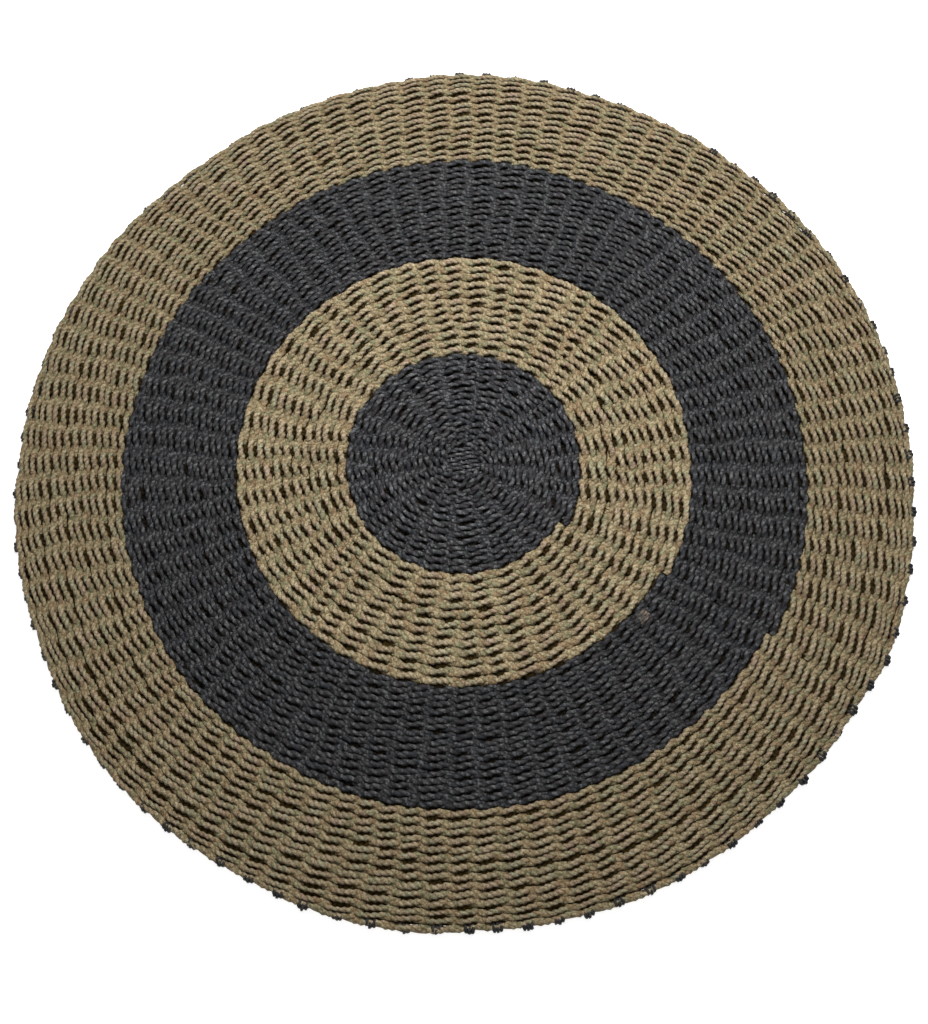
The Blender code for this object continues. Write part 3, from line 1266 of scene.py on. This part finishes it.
class SEAGRASS_OT_lay_centre(bpy.types.Operator):
    """Lay the first warps across each other at the centre, one layer over the other."""

    bl_idname = "seagrass.lay_centre"
    bl_label = "Lay Centre"

    def execute(self, context):
        rng = np.random.default_rng(context.scene.seagrass_sizes.seed + 50)
        lines = []
        for layer, (angle, height) in enumerate(CROSS_LAYERS):
            along = np.array([np.cos(angle), np.sin(angle), 0.0])
            across = np.array([-np.sin(angle), np.cos(angle), 0.0])
            for cord in range(CROSS_CORDS):
                aside = (cord - 0.5 * (CROSS_CORDS - 1)) * CROSS_CORD_WIDTH * CROSS_ROOM
                aside += rng.normal(0.0, 0.0004)
                reach = float(np.sqrt(CROSS_RADIUS**2 - aside**2))
                bow = rng.normal(0.0, 0.0010)
                path = []
                for share in CROSS_STEPS:
                    drawn_in = aside * (1.0 - 0.10 * share**2)
                    spot = along * reach * share + across * (drawn_in + bow * share)
                    dive = smooth((abs(share) - 0.55) / 0.45)
                    level = height + (MID_HEIGHT - height) * dive
                    level += (0.0004 if layer else 0.0) * (cord % 2)
                    path.append((spot[0], spot[1], level))
                lines.append(plain_line(smooth_path(path, 0.0022), across, rng.random(), rng.random()))
        lay_plain_cords("centre_cross", lines, "dark", CROSS_CORD_WIDTH, LAID_THICKNESS)
        return {"FINISHED"}


# A strand was joined here: one pale stitch in the dark ring, of cords this wide. Its path holds
# shares of its half length with the heights there.
SPLICE_ROW = 27
SPLICE_ANGLE = np.radians(313.0)
SPLICE_RADIUS = 0.33
SPLICE_HALF_LENGTH = 0.0100
SPLICE_CORD_WIDTH = 0.0056
SPLICE_PATH = ((-1.0, 0.0078), (-0.6, 0.0108), (0.0, 0.0116), (0.6, 0.0108), (1.0, 0.0078))


class SEAGRASS_OT_add_splice(bpy.types.Operator):
    """Add the pale stitch of a joined strand in the dark ring."""

    bl_idname = "seagrass.add_splice"
    bl_label = "Add Splice"

    def execute(self, context):
        at_turn = (SEAM_ANGLE - SPLICE_ANGLE) / TURN
        turns = warp_turns(SPLICE_ROW + 0.5)
        turn = turns[np.argmin(np.abs(turns - at_turn))]
        lines = []
        for cord, aside in enumerate((-0.0044, 0.0, 0.0044)):
            path = []
            for share, height in SPLICE_PATH:
                here = turn + share * SPLICE_HALF_LENGTH / (TURN * SPLICE_RADIUS)
                middle = SPLICE_ROW + 0.5 + float(spiral_offset(here))
                spot = place(here, middle, aside + 0.0012 * share)
                path.append((spot[0], spot[1], height))
            spot = np.array(path[2])
            side = np.array([spot[0], spot[1], 0.0]) / np.hypot(spot[0], spot[1])
            lines.append(plain_line(smooth_path(path, 0.0024), side, 0.3 * cord, 0.3 + 0.2 * cord))
        lay_plain_cords("splice", lines, "faded", SPLICE_CORD_WIDTH, SPLICE_THICKNESS)
        return {"FINISHED"}


# The stage: half the floor's width, the even light, and each lamp's place, size and power
FLOOR_REACH = 6.0
WHITE = (1.0, 1.0, 1.0, 1.0)
EVEN_LIGHT = 0.28
LAMPS = (
    ("key", (0.36, 1.22, 1.70), 0.9, 56.0),
    ("fill", (-0.2, -0.4, 2.6), 1.6, 5.0),
)


class SEAGRASS_OT_set_stage(bpy.types.Operator):
    """Set the pale floor, the soft lights and the camera."""

    bl_idname = "seagrass.set_stage"
    bl_label = "Set Stage"

    def execute(self, context):
        scene = context.scene
        scene.view_settings.view_transform = "Standard"
        self.lay_floor(scene)
        self.hang_lights(scene)
        self.place_camera(scene)
        return {"FINISHED"}

    def lay_floor(self, scene):
        mesh = bpy.data.meshes.new("floor")
        ends = ((-1, -1), (1, -1), (1, 1), (-1, 1))
        corners = [(FLOOR_REACH * x, FLOOR_REACH * y, 0.0) for x, y in ends]
        mesh.from_pydata(corners, [], [(0, 1, 2, 3)])
        material, tree, shader = principled("floor")
        feed(tree, shader, {
            "Base Color": (*scene.seagrass_colours.floor, 1.0),
            "Roughness": 0.9,
            "Emission Color": WHITE,
            "Emission Strength": 0.75,
        })
        mesh.materials.append(material)
        add_object("floor", mesh)

    def hang_lights(self, scene):
        world = bpy.data.worlds.new("studio")
        world.use_nodes = True
        background = world.node_tree.nodes["Background"]
        feed(world.node_tree, background, {"Color": WHITE, "Strength": EVEN_LIGHT})
        scene.world = world
        for name, spot, size, power in LAMPS:
            light = bpy.data.lights.new(name, "AREA")
            light.size = size
            light.energy = power
            lamp = add_object(name, light)
            lamp.location = spot
            lamp.rotation_mode = "QUATERNION"
            lamp.rotation_quaternion = (-Vector(spot)).to_track_quat("-Z", "Y")

    def place_camera(self, scene):
        elevation = np.radians(72.866)
        roll = np.radians(-3.433)
        distance = 1.6619
        aim = Vector((-0.0010, -0.0724, 0.0125))
        look = Vector((0.0, np.cos(elevation), -np.sin(elevation)))
        camera = add_object("camera", bpy.data.cameras.new("camera"))
        camera.data.sensor_width = 36.0
        camera.data.lens = 44.34
        camera.location = aim - look * distance
        level = look.to_track_quat("-Z", "Y")
        camera.rotation_mode = "QUATERNION"
        camera.rotation_quaternion = (level.to_matrix() @ Matrix.Rotation(roll, 3, "Z")).to_quaternion()
        scene.camera = camera


OPERATORS = (
    SEAGRASS_OT_lay_warps,
    SEAGRASS_OT_lay_centre,
    SEAGRASS_OT_twine_weft,
    SEAGRASS_OT_add_splice,
    SEAGRASS_OT_turn_in_ends,
    SEAGRASS_OT_set_stage,
)


class SEAGRASS_PT_panel(bpy.types.Panel):
    """The rug's steps, sizes and colours."""

    bl_idname = "SEAGRASS_PT_panel"
    bl_label = "Seagrass Rug"
    bl_space_type = "VIEW_3D"
    bl_region_type = "UI"
    bl_category = "Seagrass Rug"

    def draw(self, context):
        layout = self.layout
        for operator in OPERATORS:
            layout.operator(operator.bl_idname)
        for group in (context.scene.seagrass_sizes, context.scene.seagrass_colours):
            for name in group.bl_rna.properties.keys():
                if name not in ("rna_type", "name"):
                    layout.prop(group, name)


CLASSES = (SEAGRASS_PG_sizes, SEAGRASS_PG_colours) + OPERATORS + (SEAGRASS_PT_panel,)


def register():
    for item in CLASSES:
        bpy.utils.register_class(item)
    bpy.types.Scene.seagrass_sizes = PointerProperty(type=SEAGRASS_PG_sizes)
    bpy.types.Scene.seagrass_colours = PointerProperty(type=SEAGRASS_PG_colours)


def unregister():
    del bpy.types.Scene.seagrass_colours
    del bpy.types.Scene.seagrass_sizes
    for item in reversed(CLASSES):
        bpy.utils.unregister_class(item)


def main():
    register()
    for operator in OPERATORS:
        module, name = operator.bl_idname.split(".")
        getattr(getattr(bpy.ops, module), name)()


if __name__ == "__main__":
    main()
